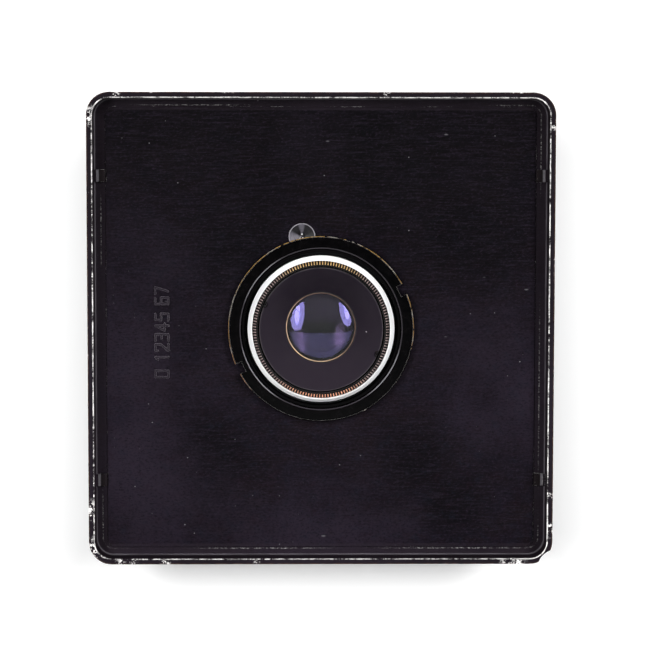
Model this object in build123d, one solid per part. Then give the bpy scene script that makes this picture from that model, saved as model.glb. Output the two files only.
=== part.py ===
from build123d import *
from math import cos, radians, sin, sqrt
import os

# An enlarging lens of 135 mm focal length, screwed into its square lens board.
# Millimetres. The optical axis is Z. The rear of the lens, which faces the negative, is up.
# Heights in this file are counted from the lens seat, the board's flat front face. STAND
# lifts everything so that the front rim, on which the lens stands, is at height 0.

# ---- Driving dimensions ------------------------------------------------------------------

THREAD_RADIUS = 25.0            # lens thread M50 x 0.75
FIT = 0.05                      # radial clearance of running and screwed fits
FRONT_RIM = -34.5               # height of the front rim under the lens seat
STAND = -FRONT_RIM

BOARD_WIDTH = 144.5
BOARD_HEIGHT = 146.5
BOARD_CORNER = 7.1
WEB_THICKNESS = 3.0             # board floor at the raised panel
WALL_DEPTH = 7.1                # from the panel up to the rim ridge
BORDER_WIDTH = 1.5              # flat outer border of the wall
RIDGE_WIDTH = 0.35              # narrow ridge inside the border
RIDGE_STEP = 0.3
POCKET_CORNER = 5.3
CHANNEL_DEPTH = 0.5
CHANNEL_SIDE = 3.4              # channel along the left and right walls
CHANNEL_END = 2.4               # channel along the top and bottom walls
LUG_OFFSET = 47.6
LUG_SIZE = 3.8
LUG_HEIGHT = 1.2                # above the channel floor
LUG_GROOVE = 0.3                # narrow groove between each lug and the panel
NOTCH_RADIUS = 6.0              # hollow of the cut corner
NOTCH_DEPTH = 1.05

STUD_RADIUS = 4.15
STUD_CENTRE_RADIUS = 29.3
STUD_ANGLE = 101.7
STUD_PIN_RADIUS = 1.2
STUD_PIN_LENGTH = 1.8

CAST_NUMBER = "0 12345 67"
CAST_NUMBER_X = -49.7
CAST_NUMBER_Y = -1.2
CAST_NUMBER_HEIGHT = 4.7
CAST_NUMBER_STROKE = 0.65
CAST_NUMBER_RAISE = 0.3

RING_OUTER = 28.9               # retaining ring
RING_THICKNESS = 3.0
RING_NOTCH_WIDTH = 3.45
RING_NOTCH_DEPTH = 2.1
RING_NOTCH_ANGLE = 25.8

COLLAR_BASE_RADIUS = 22.9       # bright tapered collar
COLLAR_TAPER_START = 4.9
COLLAR_TOP = 9.1
COLLAR_BORE = 21.45

FLUTE_COUNT = 150               # fine flutes round the rear cell
FLUTE_OUTER = 21.35
FLUTE_INNER = 20.4
FLUTE_DEPTH = 0.48
FLUTE_BOTTOM = 7.0
FLUTE_TOP = 8.2

HOOD_RADIUS = 19.25             # concave rear hood
HOOD_TOP = 7.6
HOOD_MOUTH_RADIUS = 11.25
HOOD_MOUTH_HEIGHT = -1.2
HOOD_SLOT_ANGLE = 156.0

GLASS_RADIUS = 11.8
CELL_TUBE_RADIUS = 13.9
CELL_LIP_RADIUS = 10.4
GLASS_RING_RADIUS = 12.3
GLASS_RING_BORE = 10.7

BARREL_TUBE = 24.5
BARREL_FRONT = -24.5
SHOULDER_RADIUS = 32.0
SHOULDER_THICKNESS = 3.2
CELL_SEAT = -8.5                # rear face of the web that carries the rear cell
PLATE_SEAT = -12.5              # front face of that web, where the iris plate rests

IRIS_CHAMBER = 20.5
IRIS_HOLE = 9.9
PLATE_THICKNESS = 1.2
BLADE_COUNT = 5
BLADE_INNER = 10.3
BLADE_OUTER = 16.3
BLADE_START = -6.0
BLADE_END = 145.0
BLADE_THICKNESS = 0.15
BLADE_PITCH = 0.3
BLADE_TOP = -14.0
PIVOT_RADIUS = 17.5             # circle of the blade pivots
PIN_RADIUS = 0.35
LEVER_LENGTH = 4.0              # blade pivot to drive pin
LEVER_ANGLE = -105.9
RING_TRAVEL = 60.0              # aperture ring, degrees
BLADE_TRAVEL = 28.3             # each blade over that travel
ACTUATOR_TOP = -15.6
ACTUATOR_THICKNESS = 2.4
ACTUATOR_BORE = 15.3
SLOT_CLEARANCE = 0.08
LOCK_RING_TOP = -18.2
LOCK_RING_THICKNESS = 1.6

APERTURE_RING_REAR = -3.6
APERTURE_RING_FRONT = -19.5
GRIP_RADIUS = 28.6
GRIP_FRONT = -12.0
GRIP_FLUTES = 48
SCALE_RADIUS = 27.6
SCALE_HEIGHT = -15.4
FIGURE_HEIGHT = 2.6
FIGURE_STROKE = 0.36
APERTURE_STOPS = ["5.6", "8", "11", "16", "22", "32"]
STOP_STEP = RING_TRAVEL / (len(APERTURE_STOPS) - 1)
INDEX_ANGLE = -90.0
SCREW_ANGLE = 65.4
SCREW_HEIGHT = ACTUATOR_TOP - ACTUATOR_THICKNESS / 2
SCREW_RADIUS = 0.7
CLICK_RADIUS = 27.0             # circle of the click ball and its dimples
CLICK_ANGLE = 200.0
BALL_RADIUS = 1.0
BALL_HEIGHT = -2.55

SLEEVE_REAR = -19.8
SLEEVE_FRONT = -24.6
GRUB_COUNT = 3

FRONT_CELL_RADIUS = 24.6
FILTER_RADIUS = 21.1            # filter thread M43 x 0.75
FILTER_DEPTH = 3.5

RIM_TOP = WEB_THICKNESS + WALL_DEPTH
WALL_WIDTH = BORDER_WIDTH + RIDGE_WIDTH
IRIS_PLANE = BLADE_TOP - (BLADE_COUNT - 1) * BLADE_PITCH / 2 - BLADE_THICKNESS / 2


# ---- Helpers -----------------------------------------------------------------------------

def turned(*corners):
    """Solid of revolution about the optical axis from (radius, height) corners."""
    outline = Polyline(*[(radius, 0, height) for radius, height in corners], close=True)
    return revolve(make_face(outline), Axis.Z)


def disc(radius, bottom, top):
    return Pos(0, 0, bottom) * extrude(Circle(radius), top - bottom)


def washer(outer, inner, bottom, top):
    return Pos(0, 0, bottom) * extrude(Circle(outer) - Circle(inner), top - bottom)


def block(outline, bottom, top):
    return Pos(0, 0, bottom) * extrude(outline, top - bottom)


def radial_rod(radius, start, end, height):
    """Round rod along +X between two distances from the axis."""
    return Plane((start, 0, height), x_dir=(0, 1, 0), z_dir=(1, 0, 0)) * extrude(
        Circle(radius), end - start)


def turn(angle):
    return Rot(0, 0, angle)


def mirrored(height):
    """Height of a rear feature's twin in front of the iris."""
    return 2 * IRIS_PLANE - height


def sagitta(curvature_radius, radius):
    size = abs(curvature_radius)
    depth = size - sqrt(size ** 2 - radius ** 2)
    return depth if curvature_radius > 0 else -depth


def element(rear_vertex, rear_curve, front_vertex, front_curve, radius=GLASS_RADIUS):
    """Glass element. A positive curve has its hollow side towards the front."""
    def surface(vertex, curve):
        return [(r, 0, vertex - sagitta(curve, r)) for r in (0, radius / 2, radius)]
    rear = surface(rear_vertex, rear_curve)
    front = surface(front_vertex, front_curve)
    outline = Curve() + [
        ThreePointArc(*rear),
        Line(rear[2], front[2]),
        ThreePointArc(*front),
        Line(front[0], rear[0]),
    ]
    return revolve(make_face(outline), Axis.Z)


def star(outer, depth, count):
    """Fluted outline: count crests at the outer radius with straight-sided grooves."""
    points = []
    for index in range(2 * count):
        radius = outer if index % 2 == 0 else outer - depth
        angle = radians(180 * index / count)
        points.append((radius * cos(angle), radius * sin(angle)))
    return make_face(Polyline(*points, close=True))


# Strokes of the figures, on a cell one unit high with its centre at 0, 0.
STROKES = {
    "0": [[(-0.25, -0.5), (-0.25, 0.5), (0.25, 0.5), (0.25, -0.5), (-0.25, -0.5)]],
    "1": [[(-0.15, 0.3), (0.05, 0.5), (0.05, -0.5)]],
    "2": [[(-0.25, 0.32), (-0.25, 0.5), (0.25, 0.5), (0.25, 0.08), (-0.25, -0.5), (0.27, -0.5)]],
    "3": [[(-0.25, 0.5), (0.25, 0.5), (0.25, -0.5), (-0.25, -0.5)], [(-0.08, 0.02), (0.25, 0.02)]],
    "4": [[(0.12, -0.5), (0.12, 0.5), (-0.27, -0.2), (0.28, -0.2)]],
    "5": [[(0.24, 0.5), (-0.22, 0.5), (-0.24, 0.06), (0.25, 0.06), (0.25, -0.5), (-0.25, -0.5)]],
    "6": [[(0.2, 0.5), (-0.25, 0.5), (-0.25, -0.5), (0.25, -0.5), (0.25, 0.05), (-0.25, 0.05)]],
    "7": [[(-0.25, 0.5), (0.25, 0.5), (-0.06, -0.5)]],
    "8": [[(-0.25, 0), (-0.25, 0.5), (0.25, 0.5), (0.25, -0.5), (-0.25, -0.5), (-0.25, 0), (0.25, 0)]],
    ".": [[(0, -0.5), (0, -0.49)]],
    " ": [],
}


def bar(start, end, width):
    """Round-ended bar from one point to another."""
    run = Vector(*end) - Vector(*start)
    middle = (Vector(*end) + Vector(*start)) / 2
    angle = Vector(1, 0, 0).get_signed_angle(run, Vector(0, 0, 1))
    return Pos(middle.X, middle.Y) * turn(angle) * SlotCenterToCenter(run.length, width)


def lettering(text, height, stroke_width):
    """Figures drawn with round-ended strokes, centred on the origin."""
    cell = height - stroke_width
    narrow = 0.4 * height
    wide = 0.68 * height
    face = Sketch()
    reach = 0
    for character in text:
        advance = narrow if character in " ." else wide
        middle = reach + advance / 2
        for stroke in STROKES[character]:
            points = [(middle + x * cell, y * cell) for x, y in stroke]
            for start, end in zip(points, points[1:]):
                face += bar(start, end, stroke_width)
        reach += advance
    return Pos(-reach / 2, 0) * face


# ---- Lens board --------------------------------------------------------------------------

def lens_board():
    outline = RectangleRounded(BOARD_WIDTH, BOARD_HEIGHT, BOARD_CORNER)
    body = block(outline, 0, RIM_TOP - RIDGE_STEP)
    body = fillet(body.edges().group_by(Axis.Z)[0], 1.2)
    ridge_outline = RectangleRounded(
        BOARD_WIDTH - 2 * BORDER_WIDTH, BOARD_HEIGHT - 2 * BORDER_WIDTH, BOARD_CORNER - BORDER_WIDTH)
    body += block(ridge_outline, WEB_THICKNESS, RIM_TOP)
    pocket_width = BOARD_WIDTH - 2 * WALL_WIDTH
    pocket_height = BOARD_HEIGHT - 2 * WALL_WIDTH
    channel_floor = WEB_THICKNESS - CHANNEL_DEPTH
    pocket = block(RectangleRounded(pocket_width, pocket_height, POCKET_CORNER), channel_floor, RIM_TOP)
    pocket = fillet(pocket.edges().group_by(Axis.Z)[0], 0.6)
    body -= pocket
    panel_outline = RectangleRounded(
        pocket_width - 2 * CHANNEL_SIDE, pocket_height - 2 * CHANNEL_END, 2.6)
    panel = block(panel_outline, WEB_THICKNESS / 2, WEB_THICKNESS)
    body += fillet(panel.edges().group_by(Axis.Z)[-1], 0.2)
    body -= lug_grooves(pocket_width)
    body += wall_lugs(pocket_width, channel_floor)
    body -= disc(THREAD_RADIUS + 0.1, -1, WEB_THICKNESS + 1)
    body -= stud_place() * disc(STUD_RADIUS + 0.01, -1, WEB_THICKNESS + 1)
    body -= corner_notch()
    return body + cast_number()


def wall_lugs(pocket_width, channel_floor):
    """Four small cast lugs that bridge the channel at the left and right walls."""
    top = channel_floor + LUG_HEIGHT
    foot = Pos(-CHANNEL_SIDE / 2, 0) * block(
        Rectangle(CHANNEL_SIDE, LUG_SIZE), channel_floor - 0.2, top)
    foot = chamfer(foot.edges().group_by(Axis.Z)[-1].sort_by(Axis.X)[0], 0.3)
    rib = block(Rectangle(1.4, LUG_SIZE), channel_floor - 0.2, top + 1.4)
    rib = chamfer(rib.edges().group_by(Axis.Z)[-1].sort_by(Axis.X)[0], 0.6)
    return [place * (foot + rib) for place in lug_places(pocket_width / 2)]


def lug_places(reach):
    return [turn(side) * Pos(reach, y) for side in (0, 180) for y in (-LUG_OFFSET, LUG_OFFSET)]


def lug_grooves(pocket_width):
    outline = Rectangle(LUG_GROOVE, LUG_SIZE + LUG_GROOVE)
    groove = block(outline, WEB_THICKNESS - CHANNEL_DEPTH, WEB_THICKNESS + 1)
    reach = pocket_width / 2 - CHANNEL_SIDE - LUG_GROOVE / 2
    return [place * groove for place in lug_places(reach)]


def corner_notch():
    """Shallow hollow cut across the corner at +X, -Y."""
    arc_centre_x = BOARD_WIDTH / 2 - BOARD_CORNER
    arc_centre_y = -(BOARD_HEIGHT / 2 - BOARD_CORNER)
    reach = (BOARD_CORNER - NOTCH_DEPTH + NOTCH_RADIUS) * cos(radians(45))
    centre = Pos(arc_centre_x + reach, arc_centre_y - reach)
    return centre * disc(NOTCH_RADIUS, -1, RIM_TOP + 1)


def cast_number():
    """Raised number on the panel. It reads upwards, along +Y."""
    place = Pos(CAST_NUMBER_X, CAST_NUMBER_Y, WEB_THICKNESS - 0.1) * turn(90)
    figures = lettering(CAST_NUMBER, CAST_NUMBER_HEIGHT, CAST_NUMBER_STROKE)
    return place * extrude(figures, CAST_NUMBER_RAISE + 0.1)


# ---- Pieces on the board -----------------------------------------------------------------

def stud_place():
    return turn(STUD_ANGLE) * Pos(STUD_CENTRE_RADIUS, 0)


def index_stud():
    """Turned stud pressed into the board: dished head, small locating pin in front."""
    head = turned(
        (0, 0), (STUD_RADIUS, 0), (STUD_RADIUS, WEB_THICKNESS), (STUD_RADIUS - 0.3, WEB_THICKNESS),
        (0.9, WEB_THICKNESS - 0.8), (0.6, WEB_THICKNESS - 0.5), (0, WEB_THICKNESS - 0.35))
    pin = disc(STUD_PIN_RADIUS, -STUD_PIN_LENGTH, 0.2)
    return stud_place() * (head + pin)


def retaining_ring():
    bottom = WEB_THICKNESS
    top = bottom + RING_THICKNESS
    bore = THREAD_RADIUS + 0.02
    ring = turned(
        (bore, bottom), (RING_OUTER, bottom), (RING_OUTER, top - 0.3), (RING_OUTER - 0.3, top),
        (bore + 0.45, top), (bore, top - 0.45))
    for side in (0, 180):
        notch = Pos(RING_OUTER - RING_NOTCH_DEPTH + 5, 0) * block(
            Rectangle(10, RING_NOTCH_WIDTH), bottom - 1, top + 1)
        ring -= turn(RING_NOTCH_ANGLE + side) * notch
    return ring


# ---- Barrel ------------------------------------------------------------------------------

def main_barrel():
    """Threaded barrel with the shoulder that seats on the board, and the iris chamber."""
    sleeve = THREAD_RADIUS - 0.03
    barrel = turned(
        (sleeve - 0.97, 4.6), (sleeve - 0.2, 4.6), (sleeve, 4.4), (sleeve, 0),
        (SHOULDER_RADIUS, 0), (SHOULDER_RADIUS, -SHOULDER_THICKNESS + 0.4),
        (SHOULDER_RADIUS - 0.4, -SHOULDER_THICKNESS), (BARREL_TUBE, -SHOULDER_THICKNESS),
        (BARREL_TUBE, BARREL_FRONT), (20.9, BARREL_FRONT), (20.9, -20.0),
        (IRIS_CHAMBER, -20.0), (IRIS_CHAMBER, PLATE_SEAT), (CELL_TUBE_RADIUS + FIT, PLATE_SEAT),
        (CELL_TUBE_RADIUS + FIT, CELL_SEAT), (23.0, CELL_SEAT), (23.0, -1.5), (sleeve - 0.97, -1.5))
    stud_hole = stud_place() * disc(STUD_PIN_RADIUS + FIT, -STUD_PIN_LENGTH - 0.2, 1)
    ball_hole = click_place() * disc(BALL_RADIUS + FIT, -SHOULDER_THICKNESS - 1, -0.4)
    barrel -= stud_hole
    barrel -= ball_hole
    barrel -= drive_slot()
    for index in range(GRUB_COUNT):
        barrel -= grub_place(index) * radial_rod(1.0 + FIT, 23.6, 26, 0)
    return barrel


def drive_slot():
    """Slot through the barrel wall in which the drive screw travels between its stops."""
    half_height = SCREW_RADIUS + 0.15
    margin = 2.2
    section = Plane.XZ * Pos(23, SCREW_HEIGHT) * Rectangle(6, 2 * half_height)
    slot = revolve(section, Axis.Z, RING_TRAVEL + 2 * margin)
    return turn(SCREW_ANGLE - margin) * slot


def click_place():
    return turn(CLICK_ANGLE) * Pos(CLICK_RADIUS, 0)


def click_ball():
    return click_place() * Pos(0, 0, BALL_HEIGHT) * Sphere(BALL_RADIUS)


def click_spring():
    wire = 0.13
    coil_radius = 0.75
    bottom = BALL_HEIGHT + BALL_RADIUS + wire
    height = -0.4 - bottom - 2 * wire
    path = Pos(0, 0, bottom + wire / 2) * Helix(height / 3, height, coil_radius)
    start = path @ 0
    section = Plane(start, z_dir=path % 0) * Circle(wire)
    return click_place() * sweep(section, path=path, is_frenet=True)


# ---- Rear of the lens --------------------------------------------------------------------

def bright_collar():
    return turned(
        (COLLAR_BORE, CELL_SEAT), (COLLAR_BASE_RADIUS, CELL_SEAT),
        (COLLAR_BASE_RADIUS, COLLAR_TAPER_START), (COLLAR_BORE + 0.15, COLLAR_TOP),
        (COLLAR_BORE, COLLAR_TOP))


def rear_cell_mount():
    """Rear cell: tube for the glass, wall, and the fine fluted rim."""
    groove = 19.75
    bore = HOOD_RADIUS + FIT
    counterbore = GLASS_RING_RADIUS + FIT
    glass_bore = GLASS_RADIUS + FIT
    cell = turned(
        (CELL_TUBE_RADIUS, PLATE_SEAT), (CELL_TUBE_RADIUS, CELL_SEAT), (FLUTE_OUTER, CELL_SEAT),
        (FLUTE_OUTER, FLUTE_BOTTOM), (groove, FLUTE_BOTTOM), (groove, FLUTE_BOTTOM - 0.6),
        (bore, FLUTE_BOTTOM - 0.6), (bore, -4.5), (CELL_TUBE_RADIUS, -4.5),
        (CELL_TUBE_RADIUS, -2.4), (counterbore, -2.4), (counterbore, -3.6), (glass_bore, -3.6),
        (glass_bore, PLATE_SEAT + 0.5), (CELL_LIP_RADIUS, PLATE_SEAT + 0.5), (CELL_LIP_RADIUS, PLATE_SEAT))
    return cell + fluted_rim() - disc(groove, FLUTE_BOTTOM, FLUTE_TOP + 1)


def fluted_rim():
    """Bevelled rim whose flutes narrow towards the top."""
    shrink = FLUTE_INNER / FLUTE_OUTER
    lower = Pos(0, 0, FLUTE_BOTTOM) * star(FLUTE_OUTER, FLUTE_DEPTH, FLUTE_COUNT)
    upper = Pos(0, 0, FLUTE_TOP) * star(FLUTE_INNER, FLUTE_DEPTH * shrink, FLUTE_COUNT)
    return loft([lower, upper], ruled=True)


def rear_hood():
    """Concave hood between the cell's rim and the glass, with two spanner slots."""
    rim = HOOD_RADIUS - 0.1
    hood = turned(
        (HOOD_RADIUS, HOOD_TOP - 0.1), (rim, HOOD_TOP), (HOOD_RADIUS - 0.35, HOOD_TOP),
        (HOOD_MOUTH_RADIUS, HOOD_MOUTH_HEIGHT), (HOOD_MOUTH_RADIUS, HOOD_MOUTH_HEIGHT - 0.25),
        (12.7, HOOD_MOUTH_HEIGHT - 0.25), (HOOD_RADIUS - 1.6, 4.0), (HOOD_RADIUS, 4.0))
    for side in (0, 180):
        slot = Pos(HOOD_RADIUS, 0) * block(Rectangle(1.1, 0.8), HOOD_TOP - 0.7, HOOD_TOP + 1)
        hood -= turn(HOOD_SLOT_ANGLE + side) * slot
    return hood


def glass_ring_outline(height):
    """Corners of a ring that holds an outer element. height maps rear to front heights."""
    return [
        (GLASS_RING_RADIUS, height(-3.6)), (GLASS_RING_RADIUS, height(-1.5)),
        (GLASS_RING_BORE + 0.3, height(-1.5)), (GLASS_RING_BORE, height(-1.8)),
        (GLASS_RING_BORE, height(-3.12)), (GLASS_RADIUS, height(-3.55)), (GLASS_RADIUS, height(-3.6))]


def glass_ring(height, slot_angle):
    ring = turned(*glass_ring_outline(height))
    slot_bottom = min(height(-1.9), height(-1.0))
    slot_top = max(height(-1.9), height(-1.0))
    for side in (0, 180):
        slot = Pos(GLASS_RING_BORE + 0.2, 0) * block(Rectangle(0.9, 0.7), slot_bottom, slot_top)
        ring -= turn(slot_angle + side) * slot
    return ring


def same(height):
    return height


# ---- Glass. The front group mirrors the rear group about the iris plane. -----------------

OUTER_REAR = (-1.34, 32.0)      # vertex height and curve of each surface of the rear group
OUTER_FRONT = (-5.0, 95.0)
PAIR_REAR = (-5.9, 34.0)
PAIR_CEMENT = (-9.3, -120.0)
PAIR_FRONT = (-10.3, 45.0)


def rear_element(rear, front):
    return element(rear[0], rear[1], front[0], front[1])


def front_element(rear, front):
    return element(mirrored(front[0]), -front[1], mirrored(rear[0]), -rear[1])


def spacer(height):
    """Ring between the outer element and the cemented pair."""
    return turned((11.0, height(-5.75)), (GLASS_RADIUS, height(-5.75)),
                  (GLASS_RADIUS, height(-7.95)), (11.0, height(-7.65)))


# ---- Iris --------------------------------------------------------------------------------

def iris_base_plate():
    """Fixed plate with the light stop and the pivot holes of the blades."""
    plate = washer(IRIS_CHAMBER - FIT, IRIS_HOLE, PLATE_SEAT - PLATE_THICKNESS, PLATE_SEAT)
    for index in range(BLADE_COUNT):
        plate -= blade_turn(index) * Pos(PIVOT_RADIUS, 0) * disc(PIN_RADIUS + FIT, -20, 0)
    return plate


def blade_turn(index):
    return turn(360 * index / BLADE_COUNT)


def drive_pin_point(travel):
    """Drive pin of blade 0 at a share of the full travel, in fixed space."""
    angle = radians(LEVER_ANGLE + travel * BLADE_TRAVEL)
    return (PIVOT_RADIUS + LEVER_LENGTH * cos(angle), LEVER_LENGTH * sin(angle))


def slot_point(travel):
    """The same pin as the turning actuator ring sees it."""
    x, y = drive_pin_point(travel)
    angle = radians(-travel * RING_TRAVEL)
    return (x * cos(angle) - y * sin(angle), x * sin(angle) + y * cos(angle))


def iris_blade(index):
    """Crescent blade with a pivot pin to the rear and a drive pin to the front."""
    top = BLADE_TOP - index * BLADE_PITCH
    bottom = top - BLADE_THICKNESS
    start = radians(BLADE_START)
    end = radians(BLADE_END)
    middle = (start + end) / 2

    def on_arc(radius, angle):
        return (radius * cos(angle), radius * sin(angle))
    crescent = make_face(Curve() + [
        ThreePointArc(*[on_arc(BLADE_INNER, a) for a in (start, middle, end)]),
        Line(on_arc(BLADE_INNER, end), on_arc(BLADE_OUTER, end)),
        ThreePointArc(*[on_arc(BLADE_OUTER, a) for a in (end, middle, start)]),
        Line(on_arc(BLADE_OUTER, start), on_arc(BLADE_INNER, start)),
    ])
    pivot = Pos(PIVOT_RADIUS, 0)
    pin_x, pin_y = drive_pin_point(0)
    lever = pivot * turn(LEVER_ANGLE) * Pos(LEVER_LENGTH / 2, 0) * SlotCenterToCenter(LEVER_LENGTH, 1.5)
    tab = pivot * Circle(1.1) + Pos(PIVOT_RADIUS - 1.5, 0) * Rectangle(3.0, 2.2)
    sheet = crescent + tab + lever
    blade = block(sheet, bottom, top)
    blade += pivot * disc(PIN_RADIUS, bottom, PLATE_SEAT - 0.2)
    blade += Pos(pin_x, pin_y) * disc(PIN_RADIUS, ACTUATOR_TOP - ACTUATOR_THICKNESS + 0.4, top)
    return blade_turn(index) * blade


def iris_actuator_ring():
    """Ring with one spiral slot for each blade's drive pin."""
    bottom = ACTUATOR_TOP - ACTUATOR_THICKNESS
    ring = washer(IRIS_CHAMBER - 0.1, ACTUATOR_BORE, bottom, ACTUATOR_TOP)
    path = ThreePointArc(slot_point(0), slot_point(0.5), slot_point(1))
    slot = block(SlotArc(path, 2 * (PIN_RADIUS + SLOT_CLEARANCE)), bottom - 1, ACTUATOR_TOP + 1)
    for index in range(BLADE_COUNT):
        ring -= blade_turn(index) * slot
    return ring - turn(SCREW_ANGLE) * radial_rod(SCREW_RADIUS, 17.5, 22, SCREW_HEIGHT)


def iris_lock_ring():
    """Threaded ring that keeps the iris stack in the barrel."""
    bottom = LOCK_RING_TOP - LOCK_RING_THICKNESS
    ring = washer(IRIS_CHAMBER - FIT, ACTUATOR_BORE, bottom, LOCK_RING_TOP)
    for side in (0, 180):
        ring -= turn(side) * Pos(18, 0) * block(Rectangle(2.4, 1.2), bottom - 1, bottom + 0.8)
    return ring


# ---- Aperture ring -----------------------------------------------------------------------

def aperture_ring():
    """Turning ring: fluted grip towards the board, plain band with the scale in front."""
    bore = BARREL_TUBE + FIT
    body = turned(
        (bore, APERTURE_RING_REAR), (SCALE_RADIUS, APERTURE_RING_REAR),
        (SCALE_RADIUS, APERTURE_RING_FRONT + 0.5), (SCALE_RADIUS - 0.5, APERTURE_RING_FRONT),
        (bore, APERTURE_RING_FRONT))
    grip = turned(
        (SCALE_RADIUS - 1, APERTURE_RING_REAR), (GRIP_RADIUS - 0.3, APERTURE_RING_REAR),
        (GRIP_RADIUS, APERTURE_RING_REAR - 0.3), (GRIP_RADIUS, GRIP_FRONT + 0.3),
        (GRIP_RADIUS - 0.3, GRIP_FRONT), (SCALE_RADIUS - 1, GRIP_FRONT))
    flute_radius = 0.75
    flutes = [
        turn(360 * index / GRIP_FLUTES) * Pos(GRIP_RADIUS + 0.2, 0)
        * disc(flute_radius, GRIP_FRONT - 1, APERTURE_RING_REAR + 1)
        for index in range(GRIP_FLUTES)]
    grip -= flutes
    ring = body + grip
    ring -= [turn(CLICK_ANGLE - STOP_STEP * stop) * click_dimple() for stop in range(len(APERTURE_STOPS))]
    ring -= turn(SCREW_ANGLE) * screw_hole()
    return ring - scale_figures(SCALE_RADIUS - 0.2, SCALE_RADIUS + 1)


def click_dimple():
    rear = APERTURE_RING_REAR
    return Pos(CLICK_RADIUS, 0, rear - 0.15) * Cone(0.2, 0.65, 0.3)


def screw_hole():
    shank = radial_rod(SCREW_RADIUS, 22, SCALE_RADIUS + 1, SCREW_HEIGHT)
    head = radial_rod(1.5 + FIT, SCALE_RADIUS - 1.2, SCALE_RADIUS + 1, SCREW_HEIGHT)
    return shank + head


def scale_figures(inner, outer):
    """Figures of the aperture scale as small blocks between two radii."""
    figures = []
    for stop, label in enumerate(APERTURE_STOPS):
        angle = INDEX_ANGLE - STOP_STEP * stop
        face = Plane((inner, 0, SCALE_HEIGHT), x_dir=(0, 1, 0), z_dir=(1, 0, 0))
        figure = lettering(label, FIGURE_HEIGHT, FIGURE_STROKE)
        figures.append(turn(angle) * face.location * extrude(figure, outer - inner))
    return figures


def aperture_numbers():
    return Compound(children=[
        solid for figure in scale_figures(SCALE_RADIUS - 0.2, SCALE_RADIUS + 0.02)
        for solid in figure.solids()])


def drive_screw():
    """Slotted screw that ties the aperture ring to the actuator ring."""
    shank = radial_rod(SCREW_RADIUS, 17.6, SCALE_RADIUS - 0.5, SCREW_HEIGHT)
    head = radial_rod(1.5, SCALE_RADIUS - 1.2, SCALE_RADIUS - 0.3, SCREW_HEIGHT)
    slot = Pos(SCALE_RADIUS - 0.3, 0, SCREW_HEIGHT) * Box(0.9, 0.45, 4)
    return turn(SCREW_ANGLE) * (shank + head - slot)


# ---- Front of the lens -------------------------------------------------------------------

def front_sleeve():
    """Fixed ring in front of the aperture ring, held by grub screws."""
    sleeve = turned(
        (BARREL_TUBE + 0.03, SLEEVE_REAR), (27.2, SLEEVE_REAR), (27.2, SLEEVE_REAR - 1.2),
        (25.4, SLEEVE_FRONT), (BARREL_TUBE + 0.03, SLEEVE_FRONT))
    for index in range(GRUB_COUNT):
        sleeve -= grub_place(index) * radial_rod(1.0, 24, 29, 0)
    return sleeve - index_place() * Cylinder(0.65, 0.5)


def grub_place(index):
    return turn(INDEX_ANGLE + 60 + 120 * index) * Pos(0, 0, -22.3)


def sleeve_screws():
    screws = []
    for index in range(GRUB_COUNT):
        slot = Pos(26.0, 0, 0) * Box(0.8, 0.35, 3)
        screws.append(grub_place(index) * (radial_rod(0.98, 23.8, 26.0, 0) - slot))
    return Compound(children=screws)


def index_place():
    """On the sleeve's plain band, facing away from the axis."""
    band = Plane((27.2, 0, SLEEVE_REAR - 0.85), x_dir=(0, 1, 0), z_dir=(1, 0, 0))
    return turn(INDEX_ANGLE) * band.location


def aperture_index():
    return index_place() * Pos(0, 0, -0.12) * Cylinder(0.64, 0.26)


def front_cell_mount():
    """Front cell: tube for the glass, thread into the barrel, shell with the filter thread."""
    lip = mirrored(PLATE_SEAT)
    counterbore = GLASS_RING_RADIUS + FIT
    glass_bore = GLASS_RADIUS + FIT
    web_rear = -20.6
    web_front = mirrored(-4.5)
    shell_rear = SLEEVE_FRONT - 0.2
    filter_floor = FRONT_RIM + FILTER_DEPTH
    cell = turned(
        (CELL_LIP_RADIUS, lip), (CELL_TUBE_RADIUS, lip), (CELL_TUBE_RADIUS, web_rear), (20.85, web_rear),
        (20.85, shell_rear), (FRONT_CELL_RADIUS + 0.6, shell_rear),
        (FRONT_CELL_RADIUS + 0.6, shell_rear - 2.6), (FRONT_CELL_RADIUS, shell_rear - 3.0),
        (FRONT_CELL_RADIUS, FRONT_RIM + 0.4), (FRONT_CELL_RADIUS - 0.4, FRONT_RIM),
        (FILTER_RADIUS + 0.3, FRONT_RIM), (FILTER_RADIUS, FRONT_RIM + 0.3),
        (FILTER_RADIUS, filter_floor), (20.6, filter_floor), (20.6, web_front), (CELL_TUBE_RADIUS, web_front),
        (CELL_TUBE_RADIUS, mirrored(-2.4)), (counterbore, mirrored(-2.4)), (counterbore, mirrored(-3.6)),
        (glass_bore, mirrored(-3.6)), (glass_bore, lip - 0.5), (CELL_LIP_RADIUS, lip - 0.5))
    return cell


def front_bezel_ring():
    """Plain stepped trim ring between the filter thread and the front glass."""
    outer = 20.55
    floor = FRONT_RIM + FILTER_DEPTH
    inner = mirrored(-1.1)
    bezel = turned(
        (outer, floor + 0.15), (outer - 1.0, floor + 0.15), (18.2, floor + 1.0), (17.6, floor + 1.0),
        (11.3, inner), (11.3, inner + 0.25), (12.7, inner + 0.25), (outer, floor + 1.9))
    for side in (0, 180):
        slot = Pos(outer, 0) * block(Rectangle(1.2, 1.0), floor - 0.5, floor + 0.8)
        bezel -= turn(side) * slot
    return bezel


# ---- Sub-parts ---------------------------------------------------------------------------

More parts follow.
